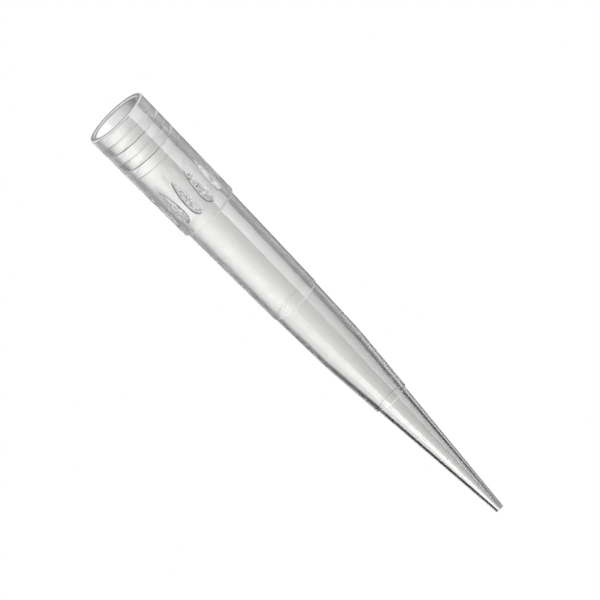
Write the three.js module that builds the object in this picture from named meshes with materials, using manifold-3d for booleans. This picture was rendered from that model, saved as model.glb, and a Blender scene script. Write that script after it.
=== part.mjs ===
// Pipette tip of the 1000 microlitre size: one polypropylene moulding, open at both ends.
// The wide mouth goes over a pipette's nozzle and has sealing ribs inside. Outside it is a
// collar with a ring of grip pockets. Beyond the collar a slim shaft tapers to the point, and
// two small steps in it mark 500 and 100 microlitres.
// Units are millimetres. The tip stands on its mouth, the one end that it can stand on: +Z is
// up, the point is at the top, and the origin is the middle of the mouth.

import * as THREE from "three";
import { mergeVertices } from "three/addons/utils/BufferGeometryUtils.js";
import Module from "manifold-3d";

// ---- Driving dimensions -------------------------------------------------------------------

// Lengths: the whole tip, the collar from the mouth, and three places measured from the point.
const LENGTH = 71.8;
const COLLAR_LENGTH = 17.45;
const MARK_500_FROM_POINT = 38.4;
const KNEE_FROM_POINT = 29.3;
const MARK_100_FROM_POINT = 20.4;

// Outside radii, from the mouth to the point. At a mark it is the wider side of the step.
const MOUTH_RADIUS = 4.4;
const COLLAR_FOOT_RADIUS = 4.21;
const SHAFT_TOP_RADIUS = 3.89;
const MARK_500_RADIUS = 3.58;
const KNEE_RADIUS = 3.2;
const MARK_100_RADIUS = 2.48;
const POINT_RADIUS = 0.59;

// How far each mark steps in, and the radius of the soft bend at the knee.
const MARK_500_STEP = 0.11;
const MARK_100_STEP = 0.16;
const KNEE_BEND = 57;

// Wall thickness, measured in from each of the outside radii above.
const MOUTH_WALL = 0.77;
const SHAFT_TOP_WALL = 0.6;
const MARK_500_WALL = 0.52;
const KNEE_WALL = 0.46;
const MARK_100_WALL = 0.5;
const POINT_WALL = 0.24;

// Edges: the rim's rounded outside and chamfered lead-in, the collar's foot, marks and point.
const RIM_ROUND = 0.17;
const LEAD_IN_WIDTH = 0.2;
const LEAD_IN_DEPTH = 0.27;
const COLLAR_FOOT_ROUND = 0.3;
const MARK_ROUND = 0.08;
const POINT_ROUND = 0.07;

// Sealing ribs in the socket: each slopes in to a crest, then slopes steeply back out.
const RIB_COUNT = 2;
const FIRST_RIB = 1.78;
const RIB_PITCH = 2.8;
const RIB_LENGTH = 1.5;
const RIB_HEIGHT = 0.14;
const RIB_BACK = 0.12;
const SOCKET_DRAFT = THREE.MathUtils.degToRad(0.5);

// Grip pockets round the collar: drop-shaped, nose to the mouth, sinking from nose to heel.
const POCKET_COUNT = 12;
const POCKET_LENGTH = 5.45;
const POCKET_HEEL_LENGTH = 1.55;
const POCKET_HALF_WIDTH = 0.71;
const POCKET_HEEL_TO_FOOT = 1.7;
const POCKET_SINK_AT_NOSE = 0.12;
const POCKET_SINK_AT_HEEL = 0.18;

// Faceting: flats round the tip, and steps in half of each rounded edge.
const FLATS = 60;
const ROUND_STEPS = 2;

// ---- Places worked out from them ----------------------------------------------------------

const mark500 = LENGTH - MARK_500_FROM_POINT;
const knee = LENGTH - KNEE_FROM_POINT;
const mark100 = LENGTH - MARK_100_FROM_POINT;
const mouthBore = MOUTH_RADIUS - MOUTH_WALL;
const socketEnd = FIRST_RIB + RIB_COUNT * RIB_PITCH;
const pocketHeel = COLLAR_LENGTH - POCKET_HEEL_TO_FOOT;
const pocketWidest = pocketHeel - POCKET_HEEL_LENGTH;
const pocketNose = pocketHeel - POCKET_LENGTH;

/** The collar's outside radius at a height above the mouth: a straight draft to its foot. */
const collarRadius = (height) =>
  THREE.MathUtils.mapLinear(height, 0, COLLAR_LENGTH, MOUTH_RADIUS, COLLAR_FOOT_RADIUS);

/** The nozzle socket's radius between its ribs: it narrows with height by its draft. */
const socketRadius = (height) => mouthBore - (height - LEAD_IN_DEPTH) * Math.tan(SOCKET_DRAFT);

// ---- Half section -------------------------------------------------------------------------

/** A point of the half section, at a radius from the tip's axis and a height above the mouth. */
const station = (radius, height) => new THREE.Vector2(radius, height);

/** Draws to the corner and round it with an arc of the given radius, heading for next. */
function roundCorner(path, corner, next, radius) {
  const back = path.currentPoint.clone().sub(corner).normalize();
  const ahead = next.clone().sub(corner).normalize();
  const halfAngle = Math.acos(THREE.MathUtils.clamp(back.dot(ahead), -1, 1)) / 2;
  const reach = radius / Math.tan(halfAngle);
  const start = corner.clone().addScaledVector(back, reach);
  const end = corner.clone().addScaledVector(ahead, reach);
  const inward = back.clone().add(ahead).normalize();
  const centre = corner.clone().addScaledVector(inward, radius / Math.sin(halfAngle));
  const startAngle = start.clone().sub(centre).angle();
  const endAngle = end.clone().sub(centre).angle();
  const clockwise = back.cross(ahead) > 0;
  path.lineTo(start.x, start.y);
  path.absarc(centre.x, centre.y, radius, startAngle, endAngle, clockwise);
}

/** Draws the outside, from the rim's face up to the face of the point. */
function drawOutside(path) {
  const mouth = station(MOUTH_RADIUS, 0);
  const collarFoot = station(COLLAR_FOOT_RADIUS, COLLAR_LENGTH);
  const shaftTop = station(SHAFT_TOP_RADIUS, COLLAR_LENGTH);
  const beforeMark500 = station(MARK_500_RADIUS, mark500);
  const afterMark500 = station(MARK_500_RADIUS - MARK_500_STEP, mark500);
  const kneeCorner = station(KNEE_RADIUS, knee);
  const beforeMark100 = station(MARK_100_RADIUS, mark100);
  const afterMark100 = station(MARK_100_RADIUS - MARK_100_STEP, mark100);
  const point = station(POINT_RADIUS, LENGTH);
  const pointBore = station(POINT_RADIUS - POINT_WALL, LENGTH);

  roundCorner(path, mouth, collarFoot, RIM_ROUND);
  roundCorner(path, collarFoot, shaftTop, COLLAR_FOOT_ROUND);
  path.lineTo(shaftTop.x, shaftTop.y);
  roundCorner(path, beforeMark500, afterMark500, MARK_ROUND);
  path.lineTo(afterMark500.x, afterMark500.y);
  roundCorner(path, kneeCorner, beforeMark100, KNEE_BEND);
  roundCorner(path, beforeMark100, afterMark100, MARK_ROUND);
  path.lineTo(afterMark100.x, afterMark100.y);
  roundCorner(path, point, pointBore, POINT_ROUND);
  path.lineTo(pointBore.x, pointBore.y);
}

/** Draws the bore, from the point's opening down to the lead-in chamfer at the mouth. */
function drawBore(path) {
  const boreAt100 = station(MARK_100_RADIUS - MARK_100_WALL, mark100);
  const boreAtKnee = station(KNEE_RADIUS - KNEE_WALL, knee);
  const boreAt500 = station(MARK_500_RADIUS - MARK_500_WALL, mark500);
  const boreAtShaftTop = station(SHAFT_TOP_RADIUS - SHAFT_TOP_WALL, COLLAR_LENGTH);

  path.lineTo(boreAt100.x, boreAt100.y);
  roundCorner(path, boreAtKnee, boreAt500, KNEE_BEND);
  path.lineTo(boreAt500.x, boreAt500.y);
  path.lineTo(boreAtShaftTop.x, boreAtShaftTop.y);
  path.lineTo(socketRadius(socketEnd), socketEnd);
  for (let rib = RIB_COUNT - 1; rib >= 0; rib -= 1) {
    const start = FIRST_RIB + rib * RIB_PITCH;
    const end = start + RIB_LENGTH;
    const crest = end - RIB_BACK;
    path.lineTo(socketRadius(end), end);
    path.lineTo(socketRadius(crest) - RIB_HEIGHT, crest);
    path.lineTo(socketRadius(start), start);
  }
  path.lineTo(mouthBore, LEAD_IN_DEPTH);
  path.lineTo(mouthBore + LEAD_IN_WIDTH, 0);
}

// ---- Solids -------------------------------------------------------------------------------

const wasm = await Module();
wasm.setup();

/** Spins stations round +Z. The flats touch the true round surface at their middles. */
function spin(stations) {
  const halfFlat = Math.PI / FLATS;
  const widened = stations.map(({ x, y }) => station(x / Math.cos(halfFlat), y));
  return new THREE.LatheGeometry(widened, FLATS, halfFlat, 2 * Math.PI).rotateX(Math.PI / 2);
}

/** A closed geometry as a solid that can be cut. */
function solidOf(geometry) {
  const bare = geometry.clone();
  bare.deleteAttribute("normal");
  bare.deleteAttribute("uv");
  const merged = mergeVertices(bare);
  const vertProperties = merged.attributes.position.array;
  const triVerts = new Uint32Array(merged.index.array);
  return new wasm.Manifold(new wasm.Mesh({ numProp: 3, vertProperties, triVerts }));
}

/** A solid's surface as a geometry again. */
function geometryOf(solid) {
  const { vertProperties, triVerts, numProp } = solid.getMesh();
  const geometry = new THREE.BufferGeometry();
  geometry.setAttribute("position", new THREE.BufferAttribute(vertProperties, numProp));
  geometry.setIndex(new THREE.BufferAttribute(triVerts, 1));
  return geometry;
}

/** The plain moulding: outside and bore as one closed section, spun round. */
function moulding() {
  const section = new THREE.Path();
  section.moveTo(mouthBore + LEAD_IN_WIDTH, 0);
  drawOutside(section);
  drawBore(section);
  return spin(section.getPoints(ROUND_STEPS));
}

/** What the pockets leave: a cone just under the collar's surface, deeper at their heels. */
function pocketFloor() {
  const margin = POCKET_HEEL_LENGTH;
  const floorRadius = (height) =>
    collarRadius(height) -
    THREE.MathUtils.mapLinear(height, pocketNose, pocketHeel, POCKET_SINK_AT_NOSE, POCKET_SINK_AT_HEEL);
  const low = pocketNose - margin;
  const high = pocketHeel + margin;
  return spin([
    station(0, low),
    station(floorRadius(low), low),
    station(floorRadius(high), high),
    station(0, high),
  ]);
}

/** One pocket's outline, pushed out through the collar on its -X side. */
function pocketPrism() {
  const noseLength = pocketWidest - pocketNose;
  const flank = { along: pocketNose + noseLength / 6, across: POCKET_HALF_WIDTH / 2 };
  const shoulder = { along: pocketWidest - noseLength / 3, across: POCKET_HALF_WIDTH };
  const drop = new THREE.Shape();
  drop.moveTo(pocketNose, 0);
  drop.bezierCurveTo(
    flank.along,
    -flank.across,
    shoulder.along,
    -shoulder.across,
    pocketWidest,
    -POCKET_HALF_WIDTH,
  );
  const quarter = Math.PI / 2;
  drop.absellipse(pocketWidest, 0, POCKET_HEEL_LENGTH, POCKET_HALF_WIDTH, -quarter, quarter);
  drop.bezierCurveTo(shoulder.along, shoulder.across, flank.along, flank.across, pocketNose, 0);
  const depth = MOUTH_RADIUS;
  const clearOfTheAxis = COLLAR_FOOT_RADIUS / 2;
  return new THREE.ExtrudeGeometry(drop, { depth, curveSegments: 6, bevelEnabled: false })
    .translate(0, 0, clearOfTheAxis)
    .rotateY(-Math.PI / 2);
}

/** The moulding with its ring of grip pockets. */
function pipetteTip() {
  const floor = solidOf(pocketFloor());
  const prism = pocketPrism();
  let solid = solidOf(moulding());
  for (let pocket = 0; pocket < POCKET_COUNT; pocket += 1) {
    const turn = ((pocket + 0.5) / POCKET_COUNT) * 2 * Math.PI;
    solid = solid.subtract(solidOf(prism.clone().rotateZ(turn)).subtract(floor));
  }
  return geometryOf(solid);
}

// ---- The tip ------------------------------------------------------------------------------

const polypropylene = new THREE.MeshStandardMaterial({
  color: 0xe4e6e6,
  roughness: 0.2,
  metalness: 0,
  transparent: true,
  opacity: 0.45,
});

const tip = new THREE.Mesh(pipetteTip(), polypropylene);
tip.name = "pipette_tip";

const part = new THREE.Group();
part.add(tip);

export default part;
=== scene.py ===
"""Looks of a 1000 microlitre pipette tip: one translucent polypropylene moulding.

The tip stands on its mouth with its point up. The moulding's sizes are in millimetres; the
grain's, the camera's places and the studio's are in metres.
"""

import math

import bmesh
import bpy
import numpy as np
from mathutils import Matrix, Vector


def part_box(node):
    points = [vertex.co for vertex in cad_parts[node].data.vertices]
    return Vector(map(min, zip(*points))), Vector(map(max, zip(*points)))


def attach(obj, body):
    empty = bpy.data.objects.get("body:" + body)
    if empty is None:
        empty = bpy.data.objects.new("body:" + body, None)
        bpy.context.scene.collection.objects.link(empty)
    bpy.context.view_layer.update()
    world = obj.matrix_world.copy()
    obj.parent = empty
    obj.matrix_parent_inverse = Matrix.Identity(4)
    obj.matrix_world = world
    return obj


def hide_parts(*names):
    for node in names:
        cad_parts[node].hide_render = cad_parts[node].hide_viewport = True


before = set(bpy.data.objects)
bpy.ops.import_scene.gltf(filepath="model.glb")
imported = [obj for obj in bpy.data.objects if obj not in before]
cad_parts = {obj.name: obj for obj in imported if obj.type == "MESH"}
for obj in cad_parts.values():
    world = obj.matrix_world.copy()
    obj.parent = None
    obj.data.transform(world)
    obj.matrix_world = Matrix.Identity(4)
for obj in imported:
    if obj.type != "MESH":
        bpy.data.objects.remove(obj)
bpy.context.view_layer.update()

MM = 0.001
low, high = (np.array(corner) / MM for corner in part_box("pipette_tip"))
MOUTH_CENTRE = np.array([(low[0] + high[0]) / 2, (low[1] + high[1]) / 2, low[2]])
LENGTH = high[2] - low[2]

# ---- Sizes of the moulding ----------------------------------------------------------------

COLLAR_LENGTH = 17.45
MARK_500 = LENGTH - 38.4
KNEE = LENGTH - 29.3
MARK_100 = LENGTH - 20.4

MOUTH_RADIUS = 4.4
COLLAR_FOOT_RADIUS = 4.21
SHAFT_TOP_RADIUS = 3.89
MARK_500_RADIUS = 3.58
KNEE_RADIUS = 3.2
MARK_100_RADIUS = 2.48
POINT_RADIUS = 0.59
MARK_500_STEP = 0.11
MARK_100_STEP = 0.16

MOUTH_BORE = 3.63
SHAFT_TOP_BORE = 3.29
MARK_500_BORE = 3.06
KNEE_BORE = 2.74
MARK_100_BORE = 1.98
POINT_BORE = 0.35

RIM_ROUND = 0.17
LEAD_IN_WIDTH = 0.2
LEAD_IN_DEPTH = 0.27
COLLAR_FOOT_ROUND = 0.294
SHAFT_TOP_FILLET = 0.01
KNEE_BEND = 57
BORE_BEND = 40
MARK_ROUND = 0.07
MARK_FILLET = 0.03
POINT_ROUND = 0.07
EDGE_ROUND = 0.04

RIB_STARTS = (1.78, 4.58)
RIB_LENGTH = 1.5
RIB_HEIGHT = 0.14
RIB_BACK = 0.12
RIB_TOE_HEIGHT = 0.04
RIB_TOE_LENGTH = 0.1
RIB_ROUND = 0.03
SOCKET_END = 7.38
SOCKET_DRAFT = math.radians(0.5)

POCKETS = 12
POCKET_NOSE = 10.3
POCKET_WIDEST = 14.2
POCKET_HEEL = 15.75
POCKET_HALF_WIDTH = 0.71
POCKET_SINK_AT_NOSE = 0.12
POCKET_SINK_AT_HEEL = 0.18
POCKET_WALL = 0.12
POCKET_SHALLOW_WALL = 0.08
POCKET_SPINE_START = 0.2
POCKET_SPINE_END = 1.2
POCKET_LEAST_HALF_WIDTH = 0.12
POCKET_SHALLOW_SIDE = (-0.1, 0.7)
POCKET_BAND = (9.85, 16.3)
MOULD_OPENING = math.radians(30)

# ---- Looks that follow the moulding -------------------------------------------------------

# A pocket's looks follow the nearness, the distance inwards from its outline; the whole floor
# has one nearness, more than the width of any wall.

POCKET_MATT = 0.3
POCKET_MATT_EDGE = 0.03
POCKET_FADE = 0.5
POCKET_FADE_SIDE = (0.3, 1)
POCKET_ON_FLOOR = 0.3
# The pockets' dark outline is painted shade: it rises over the first range of nearness and falls
# over the second.
POCKET_PAINTED_SHADE_START = (-0.11, -0.07)
POCKET_PAINTED_SHADE_END = (0.03, 0.06)
BORE_MATT = (0.2, 0.2, 0.27, 0.27, 0.18, 0)
BORE_MATT_HEIGHTS = (0, 7, 9, 17, 40, 51)

# Painted shade: dark lines on the rim's face and at the corner where the lead-in ends.
RIM_SHADE = 1
RIM_FACE_MARGIN = 0.03
LEAD_IN_SHADE = 0.6
LEAD_IN_SHADE_WIDTH = 0.05
LEAD_IN_SHADE_REACH = (0.07, 0.08)
# Painted shade: a dark line on each step of the ribs and on each toe.
RIB_SHADE = 0.9
RIB_TOE_SHADE = 0.22
RIB_SHADE_MARGIN = 0.01
# Painted reflection: pale patches on and beside the ribs' steps where they are seen aslant.
RIB_PAINTED_REFLECTION = 0.6
RIB_PAINTED_REFLECTION_REACH = (0.2, 0.08)
RIB_TOE_PAINTED_REFLECTION = 0.36

SHADED_MILK = 0.5
RIM_MILK = 0.6
RIM_MILK_INSET = 0.1
MARK_MILK = 0.31
MARK_MILK_DEPTH = 0.3
MILK_HEIGHTS = (0, 2, 8, 17, 35, 45, 55, 65, LENGTH)
MILK_LEVELS = (0.2, 0.16, 0.12, 0.12, 0.11, 0.09, 0.035, 0.01, 0)

# ---- Fineness of the mesh -----------------------------------------------------------------

COLUMNS_PER_POCKET = 16
POCKET_ROWS = 40
OUTLINE_SAMPLES = 400
ARC_STEPS = 4
WELD_DISTANCE = 2e-7
LONGEST_RING_GAP = 2
LEAST_RING_GAPS = 3
MORE_GAPS_IN_FIRST_MM = 4
RING_CROWDING = 0.97
POCKET_BLENDS = (1.0, 0.75, 0.5, 0.25)
POCKET_WALL_STATIONS = (-0.14, -0.1, -0.07, -0.03, 0, 0.007, 0.014, 0.02, 0.03)
POCKET_WALL_STATIONS += tuple(np.linspace(0.045, 0.15, 6))
POCKET_FLOOR_SHARES = (0.3, 0.5, 0.7, 0.85, 1.0)

# Rings that stand at no corner: they keep a shade from spreading further along the section.
# Each lies off its line by less than 0.002 mm, because a corner can't be straight. Behind a rib
# and over the lead-in they are a rise and a step out; on a rib's ramp they are the way down
# from its crest and the ramp's fall there; on the lead-in they are a drop and a step out. The
# one at the lead-in's foot is a step out, a height and a rounding.

STATION_ROUND = 0.01
STATIONS_BEHIND_RIB = ((0.1, -0.0005), (0.06, 0))
STATIONS_ON_RAMP = ((0.18, 0.0136), (0.24, 0.0171))
STATIONS_OVER_LEAD_IN = ((0.1, -0.0005), (0.07, 0))
STATIONS_ON_LEAD_IN = ((0.055, 0.04), (0.08, 0.06))
LEAD_IN_FOOT_STATION = (0.1635, 0.05, 0.005)


def collar_radius(height):
    """Outside radius of the collar: a straight line from the mouth to the collar's foot."""
    return MOUTH_RADIUS + (COLLAR_FOOT_RADIUS - MOUTH_RADIUS) * height / COLLAR_LENGTH


def socket_radius(height):
    """Bore of the nozzle socket between its ribs: the mouth's bore, less its draft."""
    return MOUTH_BORE - (height - LEAD_IN_DEPTH) * math.tan(SOCKET_DRAFT)


def unit(vectors):
    """Each vector divided by its length."""
    return vectors / np.linalg.norm(vectors, axis=-1, keepdims=True)


def soft_edge(value, start, end):
    """A smooth rise from 0 at the start to 1 at the end: 3 x^2 - 2 x^3 of the way x."""
    way = np.clip((value - start) / (end - start), 0, 1)
    return way * way * (3 - 2 * way)


def stretch(start, end):
    """Points strictly between two stations, set closer together beside both of them.

    With a crowding of c the share of the way is u - c sin(2 pi u) / (2 pi) for evenly spaced u.
    """
    length = np.linalg.norm(end - start)
    more = length / LONGEST_RING_GAP + MORE_GAPS_IN_FIRST_MM * min(length, 1)
    count = int(more) + LEAST_RING_GAPS
    u = np.arange(1, count)[:, None] / count
    share = u - RING_CROWDING * np.sin(2 * np.pi * u) / (2 * np.pi)
    return start + (end - start) * share


def rounded_section(corners):
    """Half section through rows of radius, height and rounding.

    Each inner corner becomes a circular arc that touches both of its sides: with half the
    angle between the sides h, the arc starts round / tan(h) before the corner and its centre
    lies round / sin(h) from it along the bisector.
    """
    place, rounding = corners[:, :2], corners[1:-1, 2:]
    back = unit(place[:-2] - place[1:-1])
    ahead = unit(place[2:] - place[1:-1])
    half = 0.5 * np.arccos(np.clip((back * ahead).sum(axis=1, keepdims=True), -1, 1))
    reach = rounding / np.tan(half)
    centre = place[1:-1] + unit(back + ahead) * rounding / np.sin(half)
    first = place[1:-1] + back * reach
    last = place[1:-1] + ahead * reach

    turn = np.pi - 2 * half
    share = np.linspace(0, 1, ARC_STEPS + 1)
    from_first = (np.sin((1 - share) * turn) / np.sin(turn))[..., None]
    from_last = (np.sin(share * turn) / np.sin(turn))[..., None]
    arcs = centre[:, None] + from_first * (first - centre)[:, None]
    arcs += from_last * (last - centre)[:, None]

    starts = np.vstack([place[:1], last])
    ends = np.vstack([first, place[-1:]])
    pieces = [place[:1]]
    for index, (start, end) in enumerate(zip(starts, ends)):
        pieces.append(stretch(start, end))
        pieces.append(arcs[index] if index < len(arcs) else place[-1:])
    return np.vstack(pieces)


def tip_corners():
    """Corners of the half section, from above the pockets, over the point and down the bore.

    It goes on round the rim and ends below the pockets. Each row is a radius, a height and
    the rounding there.
    """
    band_low, band_high = POCKET_BAND
    outside = [
        (collar_radius(band_high), band_high, 0),
        (COLLAR_FOOT_RADIUS, COLLAR_LENGTH, COLLAR_FOOT_ROUND),
        (SHAFT_TOP_RADIUS, COLLAR_LENGTH, SHAFT_TOP_FILLET),
        (MARK_500_RADIUS, MARK_500, MARK_ROUND),
        (MARK_500_RADIUS - MARK_500_STEP, MARK_500, MARK_FILLET),
        (KNEE_RADIUS, KNEE, KNEE_BEND),
        (MARK_100_RADIUS, MARK_100, MARK_ROUND),
        (MARK_100_RADIUS - MARK_100_STEP, MARK_100, MARK_FILLET),
        (POINT_RADIUS, LENGTH, POINT_ROUND),
    ]
    bore = [
        (POINT_BORE, LENGTH, EDGE_ROUND),
        (MARK_100_BORE, MARK_100, BORE_BEND),
        (KNEE_BORE, KNEE, BORE_BEND),
        (MARK_500_BORE, MARK_500, BORE_BEND),
        (SHAFT_TOP_BORE, COLLAR_LENGTH, BORE_BEND),
        (socket_radius(SOCKET_END) - RIB_TOE_HEIGHT, SOCKET_END + RIB_TOE_LENGTH, RIB_ROUND),
        (socket_radius(SOCKET_END), SOCKET_END, RIB_ROUND),
    ]
    ribs = []
    for start in reversed(RIB_STARTS):
        end = start + RIB_LENGTH
        crest = end - RIB_BACK
        for rise, out in STATIONS_BEHIND_RIB:
            ribs.append((socket_radius(end + rise) + out, end + rise, STATION_ROUND))
        ribs.append((socket_radius(end), end, RIB_ROUND))
        ribs.append((socket_radius(crest) - RIB_HEIGHT, crest, RIB_ROUND))
        for way, fall in STATIONS_ON_RAMP:
            ramp = socket_radius(crest - way) - RIB_HEIGHT + fall
            ribs.append((ramp, crest - way, STATION_ROUND))
        ribs.append((socket_radius(start) - RIB_TOE_HEIGHT, start + RIB_TOE_LENGTH, RIB_ROUND))
        ribs.append((socket_radius(start), start, RIB_ROUND))
    rim = []
    for rise, out in STATIONS_OVER_LEAD_IN:
        rim.append((MOUTH_BORE + out, LEAD_IN_DEPTH + rise, STATION_ROUND))
    rim.append((MOUTH_BORE, LEAD_IN_DEPTH, EDGE_ROUND))
    for drop, out in STATIONS_ON_LEAD_IN:
        rim.append((MOUTH_BORE + out, LEAD_IN_DEPTH - drop, STATION_ROUND))
    out, height, rounding = LEAD_IN_FOOT_STATION
    rim += [
        (MOUTH_BORE + out, height, rounding),
        (MOUTH_BORE + LEAD_IN_WIDTH, 0, EDGE_ROUND),
        (MOUTH_RADIUS, 0, RIM_ROUND),
        (collar_radius(band_low), band_low, 0),
    ]
    return np.array(outside + bore + ribs + rim)


def around(radius, angle, height):
    """Points (radius sin angle, -radius cos angle, height): the angle goes from -Y towards +X."""
    flat = [radius * np.sin(angle), -radius * np.cos(angle), height]
    return np.stack(np.broadcast_arrays(*flat), axis=-1)


def grid_faces(rows, columns, wrap):
    """Quads of a grid of points: each joins a point, the next in its row and the two above."""
    row = np.arange(rows - 1)[:, None]
    column = np.arange(columns if wrap else columns - 1)[None, :]
    beside = (column + 1) % columns
    corners = [row * columns + column, row * columns + beside]
    corners += [(row + 1) * columns + beside, (row + 1) * columns + column]
    return np.stack(np.broadcast_arrays(*corners), axis=-1).reshape(-1, 4)


def pocket_outline(count):
    """Outline of a pocket as points (across, up), evenly spaced, nose first, +across side next.

    From nose to widest place it is the cubic curve with control points at 1/6 of the way and
    half the width, and at 2/3 of the way and the whole width; then a quarter of an ellipse.
    """
    rise = POCKET_WIDEST - POCKET_NOSE
    u = np.linspace(0, 1, OUTLINE_SAMPLES)[:, None]
    controls = np.array(
        [
            (0, POCKET_NOSE),
            (POCKET_HALF_WIDTH / 2, POCKET_NOSE + rise / 6),
            (POCKET_HALF_WIDTH, POCKET_WIDEST - rise / 3),
            (POCKET_HALF_WIDTH, POCKET_WIDEST),
        ]
    )
    weights = np.hstack([(1 - u) ** 3, 3 * u * (1 - u) ** 2, 3 * u**2 * (1 - u), u**3])
    turn = u[1:] * np.pi / 2
    heel = np.hstack(
        [
            POCKET_HALF_WIDTH * np.cos(turn),
            POCKET_WIDEST + (POCKET_HEEL - POCKET_WIDEST) * np.sin(turn),
        ]
    )
    dense = np.vstack([weights @ controls, heel])
    walked = np.append(0, np.cumsum(np.linalg.norm(np.diff(dense, axis=0), axis=1)))
    wanted = np.linspace(0, walked[-1], count // 2 + 1)
    side = np.stack([np.interp(wanted, walked, dense[:, axis]) for axis in (0, 1)], axis=1)
    return np.vstack([side, side[-2:0:-1] * (-1, 1)])


def pocket_frame():
    """Edge of the patch that holds a pocket, as angles and heights.

    It starts under the nose, in the middle of the low side, and goes the same way round as
    the outline. Across the patch a share goes from -1 to 1.
    """
    band_low, band_high = POCKET_BAND
    half = COLUMNS_PER_POCKET // 2
    low_side = np.stack([np.arange(half) / half, np.full(half, band_low)], axis=1)
    heights = np.linspace(band_low, band_high, POCKET_ROWS + 1)
    right = np.stack([np.ones(POCKET_ROWS), heights[:-1]], axis=1)
    high_side = np.stack([1 - np.arange(half) / half, np.full(half, band_high)], axis=1)
    start = np.vstack([low_side, right, high_side])
    middle = np.array([[0, band_high]])
    share, height = np.vstack([start, middle, start[:0:-1] * (-1, 1)]).T
    return np.stack([share * np.pi / POCKETS, height], axis=1)


def on_collar(places):
    """Places on the collar's face: distances across and heights become angles and heights."""
    angle = np.arcsin(places[:, 0] / collar_radius(places[:, 1]))
    return np.stack([angle, places[:, 1]], axis=1)


def pocket_rings(outline):
    """Rings of one pocket's patch, from its edge inwards: angles, heights and nearness.

    Rings near the outline lie at fixed distances q from it, towards or away from the pocket's
    spine; inwards the distance is d q / (d + q), which never passes the spine at distance d.
    """
    spine_low = POCKET_NOSE + POCKET_SPINE_START
    spine_high = POCKET_WIDEST + POCKET_SPINE_END
    share = (outline[:, 1] - POCKET_NOSE) / (POCKET_HEEL - POCKET_NOSE)
    spine = np.stack([0 * share, spine_low + (spine_high - spine_low) * share], axis=1)
    inward = spine - outline
    depth = np.linalg.norm(inward, axis=1, keepdims=True)
    inward = inward / depth

    first, last = POCKET_WALL_STATIONS[0], POCKET_WALL_STATIONS[-1]
    outermost = on_collar(outline + inward * first)
    edge = pocket_frame()
    rings = [outermost + (edge - outermost) * blend for blend in POCKET_BLENDS]
    nearness = [first] * len(POCKET_BLENDS)
    for q in POCKET_WALL_STATIONS:
        shift = depth * q / (depth + q) if q > 0 else q
        rings.append(on_collar(outline + inward * shift))
        nearness.append(q)
    innermost = depth * last / (depth + last)
    for floor_share in POCKET_FLOOR_SHARES:
        shift = innermost + (depth - innermost) * floor_share
        rings.append(on_collar(outline + inward * shift))
        nearness.append(POCKET_ON_FLOOR)
    rings = np.array(rings)
    return rings[..., 0], rings[..., 1], np.array(nearness)[:, None]


def pocket_patch():
    """One pocket's patch: angles, heights, sinks, and then its looks.

    The sink is the floor's depth times the share of the wall's width that the nearness has
    crossed. The depth is whole on the -across side and comes out to nothing on the +across
    side, in the smooth rise of soft_edge. The looks are frosting, mattness and a dark outline of
    painted shade, from 0 to 1. The frosting fades towards the +across side too, and the painted
    shade is drawn on the other sides only.
    """
    outline = pocket_outline(2 * (COLUMNS_PER_POCKET + POCKET_ROWS))
    angle, height, nearness = pocket_rings(outline)
    side = outline[: len(outline) // 2 + 1]
    half_width = np.interp(height, side[:, 1], np.maximum(side[:, 0], POCKET_LEAST_HALF_WIDTH))
    across = collar_radius(height) * np.sin(angle) / half_width
    along = (height - POCKET_NOSE) / (POCKET_HEEL - POCKET_NOSE)
    floor = POCKET_SINK_AT_NOSE + (POCKET_SINK_AT_HEEL - POCKET_SINK_AT_NOSE) * along
    floor = floor * (1 - soft_edge(across, -1, 1))

    shallow = soft_edge(across, *POCKET_SHALLOW_SIDE)
    wall_width = POCKET_WALL * (1 - shallow) + POCKET_SHALLOW_WALL * shallow
    sink = floor * np.clip(nearness / wall_width, 0, 1)
    matt = soft_edge(nearness, wall_width, wall_width + POCKET_MATT_EDGE)
    frosting = matt * (1 - POCKET_FADE * soft_edge(across, *POCKET_FADE_SIDE))
    # The dark outline is painted shade along the pocket's edge.
    dark = soft_edge(nearness, *POCKET_PAINTED_SHADE_START) - soft_edge(nearness, *POCKET_PAINTED_SHADE_END)
    return angle, height, sink, frosting, matt, dark * (1 - shallow)


def between(values, least, most):
    """Where the values lie between two limits."""
    return (values > least) & (values < most)


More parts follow.
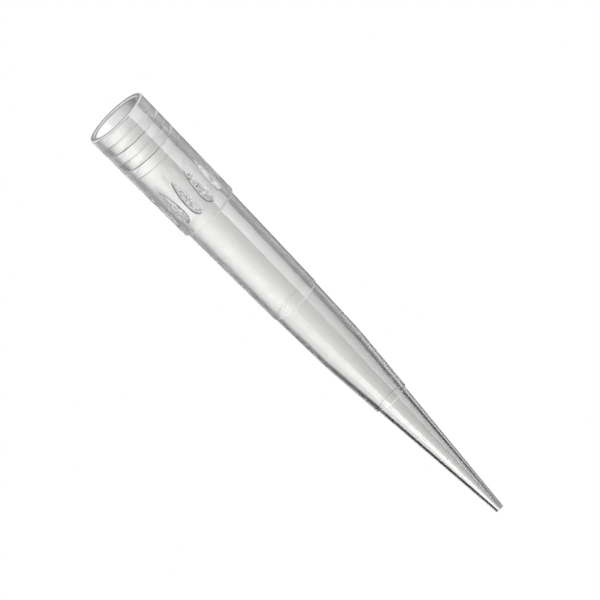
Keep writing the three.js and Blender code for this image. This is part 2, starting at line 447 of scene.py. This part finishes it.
def section_shade(section):
    """Dark tones and pale wedges of the half section, from 0 to 1, at each of its points.

    The dark tones are painted shade: on the rim's face, on the corner where the lead-in ends,
    and in a dark line on each step of the ribs. The pale patch on and beside each step is a
    painted reflection.
    """
    radius, height = section.T
    shade = np.zeros(len(section))
    painted_rib_shade = np.zeros(len(section))
    painted_rib_reflection = np.zeros(len(section))
    inside = radius < MOUTH_BORE
    # Painted shade on each step of the ribs, and a painted reflection on and beside it.
    for start in RIB_STARTS:
        end = start + RIB_LENGTH
        crest = end - RIB_BACK
        back = between(height, crest - RIB_SHADE_MARGIN, end + RIB_SHADE_MARGIN)
        beside = between(height, crest - RIB_PAINTED_REFLECTION_REACH[0], end + RIB_PAINTED_REFLECTION_REACH[1])
        painted_rib_shade[inside & back] = RIB_SHADE
        painted_rib_reflection[inside & beside] = RIB_PAINTED_REFLECTION
    for start in (*RIB_STARTS, SOCKET_END):
        top = start + RIB_TOE_LENGTH
        toe = between(height, start - RIB_SHADE_MARGIN, top + RIB_SHADE_MARGIN)
        painted_rib_shade[inside & toe] = RIB_TOE_SHADE
        painted_rib_reflection[inside & toe] = RIB_TOE_PAINTED_REFLECTION
    # Painted shade on the rim's face and at the corner where the lead-in ends.
    on_face = between(radius, MOUTH_BORE, MOUTH_RADIUS - RIM_ROUND + RIM_FACE_MARGIN)
    shade[on_face & (height < RIM_FACE_MARGIN)] = RIM_SHADE
    reach = LEAD_IN_SHADE_REACH
    corner = between(height, LEAD_IN_DEPTH - reach[0], LEAD_IN_DEPTH + reach[1])
    shade[corner & (radius < MOUTH_BORE + LEAD_IN_SHADE_WIDTH)] = LEAD_IN_SHADE
    return shade, painted_rib_shade, painted_rib_reflection


def milkiness(points, darkened):
    """How milky the plastic looks at each point, from 0 to 1.

    It follows the height, with more on the rim and on what is darkened, and a pale line at each
    volume mark.
    """
    height = points[:, 2]
    radius = np.hypot(points[:, 0], points[:, 1])
    milk = np.interp(height, MILK_HEIGHTS, MILK_LEVELS)
    rim = (height < RIM_ROUND) & (radius > MOUTH_BORE + RIM_MILK_INSET)
    milk = np.maximum(milk, RIM_MILK * rim)
    milk = np.maximum(milk, SHADED_MILK * darkened)
    for mark, outer in ((MARK_500, MARK_500_RADIUS), (MARK_100, MARK_100_RADIUS)):
        beside = abs(height - mark) < MARK_ROUND
        milk[beside & (radius > outer - MARK_MILK_DEPTH)] = MARK_MILK
    return milk


def moulding():
    """Points and quads of the whole tip, and its looks by name.

    The half section is spun round the axis in equal columns, and each pocket's patch fills
    the gap that the section leaves round the collar. The spun points come first, ring by ring,
    and then each pocket's. The pockets' shallow side changes over at each quarter turn.
    """
    columns = COLUMNS_PER_POCKET * POCKETS
    section = rounded_section(tip_corners())
    turns = 2 * np.pi * np.arange(columns) / columns
    points = [around(section[:, :1], turns[None, :], section[:, 1:]).reshape(-1, 3)]
    quads = [grid_faces(len(section), columns, wrap=True)]
    angle, height, sink, frosting, matt, outline = pocket_patch()
    for pocket in range(POCKETS):
        turn = (pocket + 0.5) * 2 * np.pi / POCKETS
        side = math.copysign(1, math.sin(2 * (turn - MOULD_OPENING)))
        patch = around(collar_radius(height) - sink, side * angle + turn, height)
        quads.append(grid_faces(*angle.shape, wrap=True) + sum(map(len, points)))
        points.append(patch.reshape(-1, 3))
    points = np.vstack(points)

    def all_over(on_section, on_pocket):
        """A look of the section repeated in each column, then a look of a pocket in each one."""
        return np.append(np.repeat(on_section, columns), np.tile(on_pocket.ravel(), POCKETS))

    plain_section = np.zeros(len(section))
    plain_pocket = np.zeros(angle.shape)
    shade, painted_rib_shade, painted_rib_reflection = section_shade(section)
    past_point = np.arange(len(section)) > section[:, 1].argmax()
    in_bore = past_point & (section[:, 0] <= MOUTH_BORE)
    satin = in_bore * np.interp(section[:, 1], BORE_MATT_HEIGHTS, BORE_MATT)
    # Shade, outline and the ribs' dark lines are painted shade; the ribs' pale patches are a
    # painted reflection.
    looks = {
        "frosting": all_over(plain_section, frosting),
        "matt": all_over(satin, POCKET_MATT * matt),
        "shade": all_over(shade, plain_pocket),
        "outline": all_over(plain_section, outline),
        "painted_rib_shade": all_over(painted_rib_shade, plain_pocket),
        "painted_rib_reflection": all_over(painted_rib_reflection, plain_pocket),
    }
    looks["milk"] = milkiness(points, looks["shade"] + looks["outline"] + looks["painted_rib_shade"])
    return points, np.vstack(quads), looks


def mesh_object(name, points, quads, looks=None):
    """A smooth mesh object at the origin from points in metres, quads and named values."""
    mesh = bpy.data.meshes.new(name)
    mesh.from_pydata(points.tolist(), [], quads.tolist())
    for label, values in (looks or {}).items():
        layer = mesh.attributes.new(label, "FLOAT", "POINT")
        layer.data.foreach_set("value", values.astype(np.float32))
    mesh.polygons.foreach_set("use_smooth", np.ones(len(mesh.polygons), dtype=bool))
    mesh.update()
    thing = bpy.data.objects.new(name, mesh)
    bpy.context.scene.collection.objects.link(thing)
    return thing


def weld(thing, distance):
    """Joins points that meet, drops faces of no area, turns the rest outwards and counts."""
    shape = bmesh.new()
    shape.from_mesh(thing.data)
    bmesh.ops.remove_doubles(shape, verts=shape.verts, dist=distance)
    bmesh.ops.dissolve_degenerate(shape, edges=shape.edges, dist=distance)
    bmesh.ops.recalc_face_normals(shape, faces=shape.faces)
    open_edges = sum(not edge.is_manifold for edge in shape.edges)
    shape.to_mesh(thing.data)
    shape.free()
    print(thing.name, "open edges", open_edges, "faces", len(thing.data.polygons))


# ---- Materials ----------------------------------------------------------------------------

# Specks start at one level of the grain and are whole at another, from a least to a most. A
# surface counts as face on or aslant by how far it turns from the eye, on a scale of 0 to 1.

GRAIN_SCALE = 6000
GRAIN_DEPTH = 0.00002
DARK_SPECKS = (0.5, 0.41, 0, 0.95)
PALE_SPECKS = (0.5, 0.58, 0.06, 1)
FACE_ON = 0.32
ASLANT = 0.42
PLASTIC_IOR = 1.49
CLEAR_TONE = (1, 0.998, 0.993, 1)
DARK_TONE = (0.15, 0.15, 0.15, 1)
MILKY_ROUGHNESS = 0.1
BENCH_WHITE = 0.8
BENCH_THROUGH_TIP = 0.15
BENCH_MATT = (0.28, 0.28, 0.28, 1)


def new_material(name):
    """An empty node material with its output node."""
    material = bpy.data.materials.new(name)
    material.use_nodes = True
    nodes = material.node_tree.nodes
    nodes.clear()
    return material, nodes, material.node_tree.links, nodes.new("ShaderNodeOutputMaterial")


def carried(material, name):
    """A value that the mesh carries under a name."""
    node = material.node_tree.nodes.new("ShaderNodeAttribute")
    node.attribute_name = name
    return node.outputs["Fac"]


def worked_out(material, operation, *terms):
    """A Math node's value from terms that are numbers or other nodes' values."""
    node = material.node_tree.nodes.new("ShaderNodeMath")
    node.operation = operation
    for socket, term in zip(node.inputs, terms):
        if isinstance(term, (int, float)):
            socket.default_value = term
        else:
            material.node_tree.links.new(term, socket)
    return node.outputs["Value"]


def spread(material, value, start, end, least=0, most=1):
    """A value mapped in a straight line, from least at the start to most at the end."""
    node = material.node_tree.nodes.new("ShaderNodeMapRange")
    node.inputs["From Min"].default_value = start
    node.inputs["From Max"].default_value = end
    node.inputs["To Min"].default_value = least
    node.inputs["To Max"].default_value = most
    material.node_tree.links.new(value, node.inputs["Value"])
    return node.outputs["Result"]


def polypropylene():
    """Clear natural polypropylene: a glassy skin mixed with a milky one, both of one tone.

    The tone darkens with the dark specks and outlines of the pockets, seen from outside only,
    with the rim's shade, and with the dark lines on the ribs' steps where they are seen face on.
    The outlines, the rim's shade and the ribs' lines are painted shade. The milky share is the
    milk, the pale specks of the pockets, and a painted reflection: pale patches beside the
    ribs' steps where they are seen aslant.
    """
    material, nodes, links, output = new_material("natural_polypropylene")
    frosting = carried(material, "frosting")
    place = nodes.new("ShaderNodeTexCoord")
    noise = nodes.new("ShaderNodeTexNoise")
    noise.inputs["Scale"].default_value = GRAIN_SCALE
    noise.inputs["Detail"].default_value = 1
    links.new(place.outputs["Object"], noise.inputs["Vector"])
    grain = noise.outputs["Fac"]

    facing = nodes.new("ShaderNodeLayerWeight").outputs["Facing"]
    backfacing = nodes.new("ShaderNodeNewGeometry").outputs["Backfacing"]
    outside = worked_out(material, "SUBTRACT", 1, backfacing)
    face_on = spread(material, facing, ASLANT, FACE_ON)
    aslant = spread(material, facing, FACE_ON, ASLANT)

    dark_speck = spread(material, grain, *DARK_SPECKS)
    # The pockets' outlines, the rim's shade and the ribs' dark lines darken the tone: painted
    # shade.
    outline = carried(material, "outline")
    specks_and_painted_outline = worked_out(material, "MULTIPLY_ADD", dark_speck, frosting, outline)
    seen_specks_and_painted_outline = worked_out(material, "MULTIPLY", specks_and_painted_outline, outside)
    painted_rib_shade = carried(material, "painted_rib_shade")
    edges = worked_out(material, "MULTIPLY_ADD", painted_rib_shade, face_on, carried(material, "shade"))
    tone = nodes.new("ShaderNodeMix")
    tone.data_type = "RGBA"
    tone.inputs["A"].default_value = CLEAR_TONE
    tone.inputs["B"].default_value = DARK_TONE
    links.new(worked_out(material, "ADD", seen_specks_and_painted_outline, edges), tone.inputs["Factor"])

    centred = worked_out(material, "SUBTRACT", grain, 0.5)
    bump = nodes.new("ShaderNodeBump")
    bump.inputs["Strength"].default_value = 1
    bump.inputs["Distance"].default_value = GRAIN_DEPTH
    links.new(worked_out(material, "MULTIPLY", centred, frosting), bump.inputs["Height"])

    glassy = nodes.new("ShaderNodeBsdfPrincipled")
    glassy.inputs["Transmission Weight"].default_value = 1.0
    glassy.inputs["IOR"].default_value = PLASTIC_IOR
    links.new(carried(material, "matt"), glassy.inputs["Roughness"])
    links.new(tone.outputs["Result"], glassy.inputs["Base Color"])
    links.new(bump.outputs["Normal"], glassy.inputs["Normal"])

    milky = nodes.new("ShaderNodeBsdfPrincipled")
    milky.inputs["Transmission Weight"].default_value = 0.0
    milky.inputs["IOR"].default_value = PLASTIC_IOR
    milky.inputs["Roughness"].default_value = MILKY_ROUGHNESS
    links.new(tone.outputs["Result"], milky.inputs["Base Color"])

    pale_speck = spread(material, grain, *PALE_SPECKS)
    # Painted reflection: the ribs' pale patches, a milky share where they are seen aslant.
    painted_rib_reflection = carried(material, "painted_rib_reflection")
    milk_and_painted_reflection = worked_out(material, "MULTIPLY_ADD", painted_rib_reflection, aslant, carried(material, "milk"))
    blend = nodes.new("ShaderNodeMixShader")
    share = worked_out(material, "MULTIPLY_ADD", pale_speck, frosting, milk_and_painted_reflection)
    links.new(share, blend.inputs["Fac"])
    links.new(glassy.outputs["BSDF"], blend.inputs[1])
    links.new(milky.outputs["BSDF"], blend.inputs[2])
    links.new(blend.outputs["Shader"], output.inputs["Surface"])
    return material


def glowing(name, strength):
    """A card that gives off plain white light, of one strength or of a value that it carries."""
    material, nodes, links, output = new_material(name)
    light = nodes.new("ShaderNodeEmission")
    if isinstance(strength, str):
        links.new(carried(material, strength), light.inputs["Strength"])
    else:
        light.inputs["Strength"].default_value = strength
    links.new(light.outputs["Emission"], output.inputs["Surface"])
    return material


def bench_top():
    """A white bench: mostly its own white where it is seen, and a share that takes shadow.

    From underneath it is clear, because the camera looks up at the mouth from there.
    """
    material, nodes, links, output = new_material("bench_top")
    ray = nodes.new("ShaderNodeLightPath").outputs
    seen = worked_out(material, "MAXIMUM", ray["Is Camera Ray"], ray["Is Glossy Ray"])
    through = worked_out(material, "MULTIPLY", ray["Is Transmission Ray"], BENCH_THROUGH_TIP)
    shown = worked_out(material, "MAXIMUM", seen, through)
    white = nodes.new("ShaderNodeEmission")
    links.new(worked_out(material, "MULTIPLY", shown, BENCH_WHITE), white.inputs["Strength"])
    matt = nodes.new("ShaderNodeBsdfDiffuse")
    matt.inputs["Color"].default_value = BENCH_MATT
    lit = nodes.new("ShaderNodeAddShader")
    links.new(white.outputs["Emission"], lit.inputs[0])
    links.new(matt.outputs["BSDF"], lit.inputs[1])

    below = nodes.new("ShaderNodeNewGeometry").outputs["Backfacing"]
    passing = worked_out(material, "MAXIMUM", below, ray["Is Diffuse Ray"])
    passing = worked_out(material, "MAXIMUM", passing, ray["Is Shadow Ray"])
    clear = nodes.new("ShaderNodeBsdfTransparent")
    choose = nodes.new("ShaderNodeMixShader")
    links.new(passing, choose.inputs["Fac"])
    links.new(lit.outputs["Shader"], choose.inputs[1])
    links.new(clear.outputs["BSDF"], choose.inputs[2])
    links.new(choose.outputs["Shader"], output.inputs["Surface"])
    return material


# ---- The tip ------------------------------------------------------------------------------

points, quads, looks = moulding()
tip = mesh_object("moulded_tip", (points + MOUTH_CENTRE) * MM, quads, looks)
weld(tip, WELD_DISTANCE)
tip.data.materials.append(polypropylene())
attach(tip, "root")
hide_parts("pipette_tip")

# ---- Camera -------------------------------------------------------------------------------

# The tip's seen axis leans: for each unit of its length it goes this far right and this far down.

AXIS_LEAN = (0.70038, 0.71377)
CAMERA_TURN = math.radians(4.6)
CAMERA_RISE = math.radians(13.4)
FRAME_WIDTH = 0.0763
CAMERA_DISTANCE = 2.5
CAMERA_REACH = 20
SENSOR_WIDTH = 36
AIM_UP = 0.03388
AIM_ASIDE = 0.00047

up_axis = Vector((0, 0, 1))
to_camera = Vector((math.sin(CAMERA_TURN), -math.cos(CAMERA_TURN), 0))
sight = up_axis * math.sin(CAMERA_RISE) - to_camera * math.cos(CAMERA_RISE)
seen_axis = (up_axis - sight * up_axis.dot(sight)).normalized()
seen_side = (-sight).cross(seen_axis)
right = seen_axis * AXIS_LEAN[0] + seen_side * AXIS_LEAN[1]
upward = seen_side * AXIS_LEAN[0] - seen_axis * AXIS_LEAN[1]
aim = Vector(MOUTH_CENTRE * MM) + up_axis * AIM_UP + seen_side * AIM_ASIDE

camera_data = bpy.data.cameras.new("camera")
camera_data.sensor_width = SENSOR_WIDTH
camera_data.lens = SENSOR_WIDTH * CAMERA_DISTANCE / FRAME_WIDTH
camera_data.clip_end = CAMERA_REACH
camera = bpy.data.objects.new("camera", camera_data)
turned = Matrix((right, upward, -sight)).transposed().to_4x4()
camera.matrix_world = Matrix.Translation(aim - sight * CAMERA_DISTANCE) @ turned
bpy.context.scene.collection.objects.link(camera)
bpy.context.scene.camera = camera

# ---- Studio -------------------------------------------------------------------------------

TENT_RADIUS = 0.4
TENT_LOW = -0.12
TENT_HIGH = 0.26
TENT_COLUMNS = 61
TENT_ROWS = 39
CAP_RINGS = 9
CAP_CLOSING = 0.999
CAP_TIPS = (-0.35, 0.5)
CAP_GLOW = 0.45
BENCH_HALF_SIDE = 3.0
BENCH_DROP = 0.00002

# Edges of the cards in degrees round the tip, counted from the camera towards -X.

FRONT_EDGE = -37
PANEL_START = 38
PANEL_END = 87
GREY_START = 125
BACK_START = 166
BACK_END = 206

# Levels of light, and where they change in degrees. The back card's high-up form starts with a
# faint stretch of its own.

PANEL_LEVEL = 5.0
PANEL_FALL = 1.3
FRONT_LEVEL = 0.6
FRONT_RISE = 0.5
GREY_LEVEL = 0.38
GREY_FALL = 0.36
GREY_FALL_EDGES = (142, 156)
BACK_LEVEL = 0.98
BACK_RISE_EDGES = (172.5, 185)
BACK_FAINT_SHARE = 0.28
BACK_FAINT_EDGES = (166.5, 171.5)
BACK_HIGH_EDGES = (172, 188)
BACK_FALL_START = 194
LEFT_LEVEL = 0.15
LEFT_RISE = 0.35
LEFT_RISE_EDGES = (137, 146)

# Each card's level is multiplied by a factor that goes in straight lines through four heights.
# The widening is the share of the back card's high-up form in the same way.

FADE_HEIGHTS = (0.1, 0.126, 0.14, 0.15)
PANEL_FADE = (1.2, 1.22, 0.95, 0.6)
FRONT_FADE = (1.2, 1.12, 0.97, 0.92)
GREY_FADE = (1.2, 1.12, 1.4, 1.7)
BACK_FADE = (1.38, 1.25, 1.05, 0.93)
BACK_WIDENING = (0, 0, 0.7, 1)
LEFT_FADE = (1.2, 0.7, 0.1, 0)


def panel_glow(angle, height):
    """The right panel: it falls evenly from its front edge to its back edge."""
    way = (angle - PANEL_START) / (PANEL_END - PANEL_START)
    return (PANEL_LEVEL - PANEL_FALL * way) * np.interp(height, FADE_HEIGHTS, PANEL_FADE)


def front_glow(angle, height):
    """The left half of the front: it rises evenly from the camera to its far edge."""
    level = FRONT_LEVEL + FRONT_RISE * angle / FRONT_EDGE
    return level * np.interp(height, FADE_HEIGHTS, FRONT_FADE)


def grey_glow(angle, height):
    """A grey card on the far right: almost black before the back, and brighter high up."""
    level = GREY_LEVEL - GREY_FALL * soft_edge(angle, *GREY_FALL_EDGES)
    return level * np.interp(height, FADE_HEIGHTS, GREY_FADE)


def back_glow(angle, height):
    """The bright card behind the tip, fading at both sides; high up it starts further right."""
    low = soft_edge(angle, *BACK_RISE_EDGES)
    high = BACK_FAINT_SHARE * soft_edge(angle, *BACK_FAINT_EDGES)
    high += (1 - BACK_FAINT_SHARE) * soft_edge(angle, *BACK_HIGH_EDGES)
    rise = low + (high - low) * np.interp(height, FADE_HEIGHTS, BACK_WIDENING)
    level = BACK_LEVEL * rise * (1 - soft_edge(angle, BACK_FALL_START, BACK_END))
    return level * np.interp(height, FADE_HEIGHTS, BACK_FADE)


def left_glow(angle, height):
    """A dark card on the left: it rises near the back, and is black high up."""
    level = LEFT_LEVEL + LEFT_RISE * soft_edge(-angle, *LEFT_RISE_EDGES)
    return level * np.interp(height, FADE_HEIGHTS, LEFT_FADE)


def no_glow(angle, height):
    """A black card."""
    return 0 * angle * height


def stage_card(name, place, material, looks=None):
    """A card on a grid of places, unseen by the camera while it still lights and is mirrored."""
    quads = grid_faces(*place.shape[:2], wrap=False)
    card = mesh_object(name, place.reshape(-1, 3), quads, looks)
    card.data.materials.append(material)
    card.visible_camera = False
    card.visible_shadow = False
    card.visible_diffuse = False


def tent_card(name, start, end, level):
    """An upright curved card round the tip, from one angle to another, with a level of light."""
    degrees = np.linspace(start, end, TENT_COLUMNS)[None, :]
    height = np.linspace(TENT_LOW, TENT_HIGH, TENT_ROWS)[:, None]
    angle = np.radians(degrees)[..., None]
    facing = np.array(to_camera)
    side = np.array((to_camera.y, -to_camera.x, 0))
    ring = facing * np.cos(angle) + side * np.sin(angle)
    place = ring * TENT_RADIUS + np.array(up_axis) * height[..., None]
    stage_card(name, place, glowing(name, "glow"), {"glow": level(degrees, height).ravel()})


def tent_cap(name, edge_height, tip_height):
    """A shallow cone that closes the tent from its edge at one height to a tip at another."""
    way = np.linspace(0, 1, CAP_RINGS)[:, None]
    angle = np.linspace(0, 2 * np.pi, TENT_COLUMNS)[None, :]
    height = edge_height + (tip_height - edge_height) * way
    place = around(TENT_RADIUS * (1 - CAP_CLOSING * way), angle, height)
    stage_card(name, place, glowing(name, CAP_GLOW))


tent_card("right_panel", PANEL_START, PANEL_END, panel_glow)
tent_card("front_panel", 0, FRONT_EDGE, front_glow)
tent_card("front_flag", 0, PANEL_START, no_glow)
tent_card("right_flag", PANEL_END, GREY_START, no_glow)
tent_card("right_grey", GREY_START, BACK_START, grey_glow)
tent_card("back_card", BACK_START, BACK_END, back_glow)
tent_card("left_flag", FRONT_EDGE, BACK_END - 360, left_glow)
tent_cap("upper_cap", TENT_HIGH, CAP_TIPS[1])
tent_cap("lower_cap", TENT_LOW, CAP_TIPS[0])

corners = np.array([(-1, -1, 0), (1, -1, 0), (1, 1, 0), (-1, 1, 0)]) * BENCH_HALF_SIDE
corners[:, 2] = -BENCH_DROP
bench = mesh_object("bench", corners, np.array([[0, 1, 2, 3]]))
bench.data.materials.append(bench_top())

world = bpy.data.worlds.new("studio")
world.use_nodes = True
bpy.context.scene.world = world
nodes, links = world.node_tree.nodes, world.node_tree.links
nodes.clear()
world_output = nodes.new("ShaderNodeOutputWorld")
sky = nodes.new("ShaderNodeBackground")
sky.inputs["Color"].default_value = (1, 1, 1, 1)
links.new(sky.outputs["Background"], world_output.inputs["Surface"])

scene = bpy.context.scene
scene.view_settings.view_transform = "Standard"
